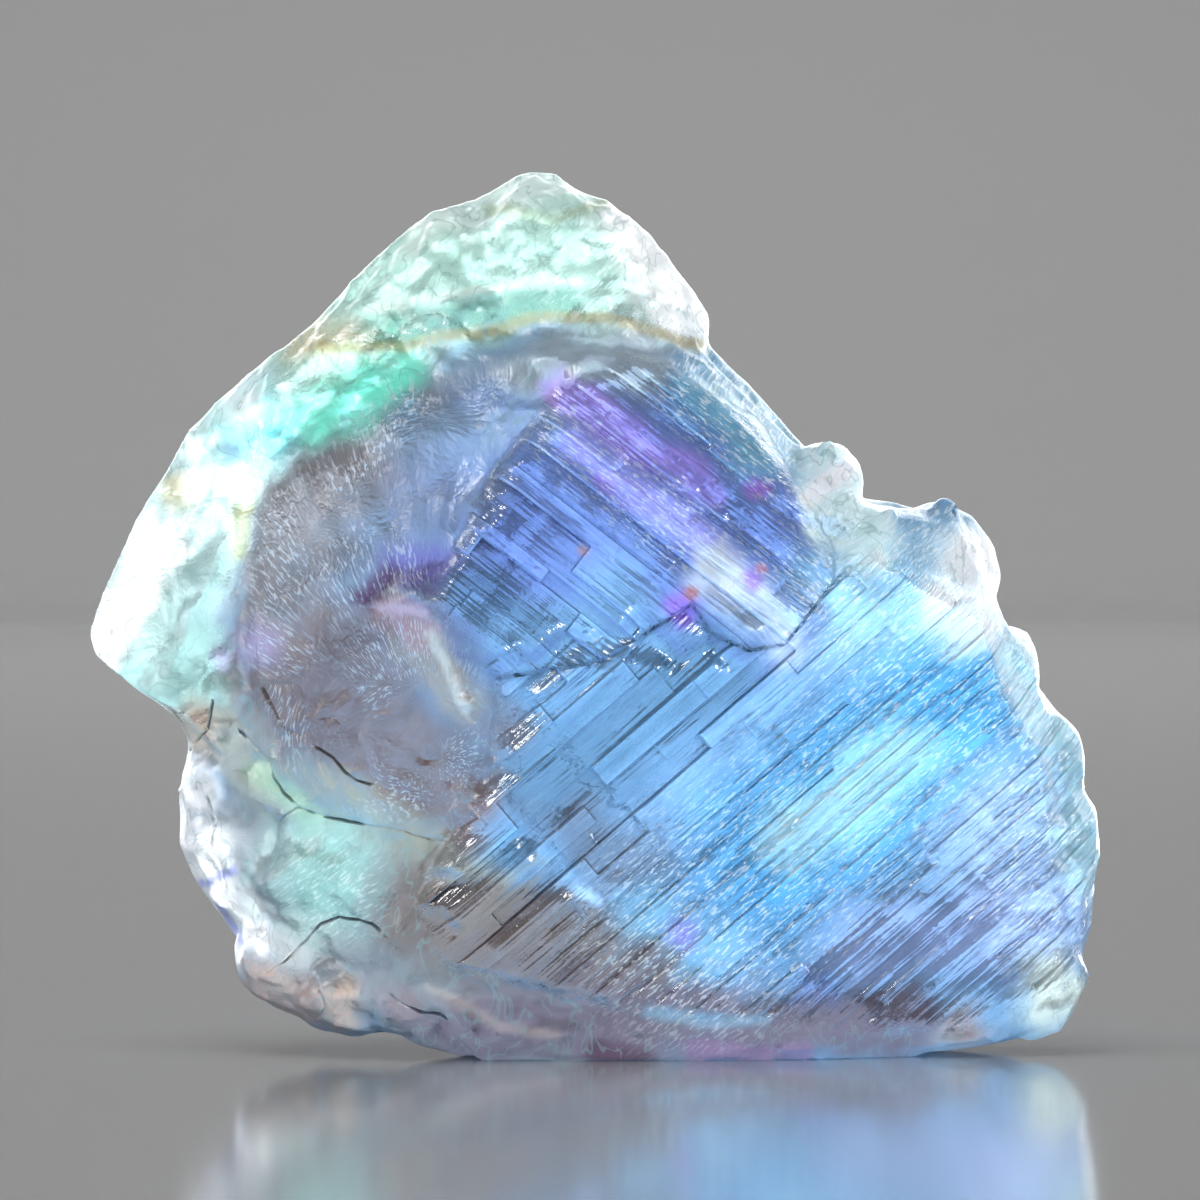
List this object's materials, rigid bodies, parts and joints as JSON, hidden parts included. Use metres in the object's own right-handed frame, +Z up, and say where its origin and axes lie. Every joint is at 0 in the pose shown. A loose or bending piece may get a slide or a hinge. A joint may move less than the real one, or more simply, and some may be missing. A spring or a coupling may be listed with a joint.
{
  "type": "fluorite specimen",
  "caption": "Free-standing piece of zoned fluorite: a stepped, striated crystal on a pale glassy plate with a lumpy rim, cleaved behind and flat underneath to stand on a shelf.",
  "frame": {"origin": "middle of the bounding box at the level of the flat foot", "axes": "+X to the right across the show face, the longest extent; +Y from the show face to the cleaved back, the shortest extent; +Z up"},
  "size_m": [0.076, 0.0288, 0.0662],
  "materials": {
    "fluorite": "clear to milky, zoned from mint and white at the rim through blue and violet, with rusty seams"
  },
  "bodies": {
    "root": {"fluorite": "fluorite"}
  },
  "joints": []
}
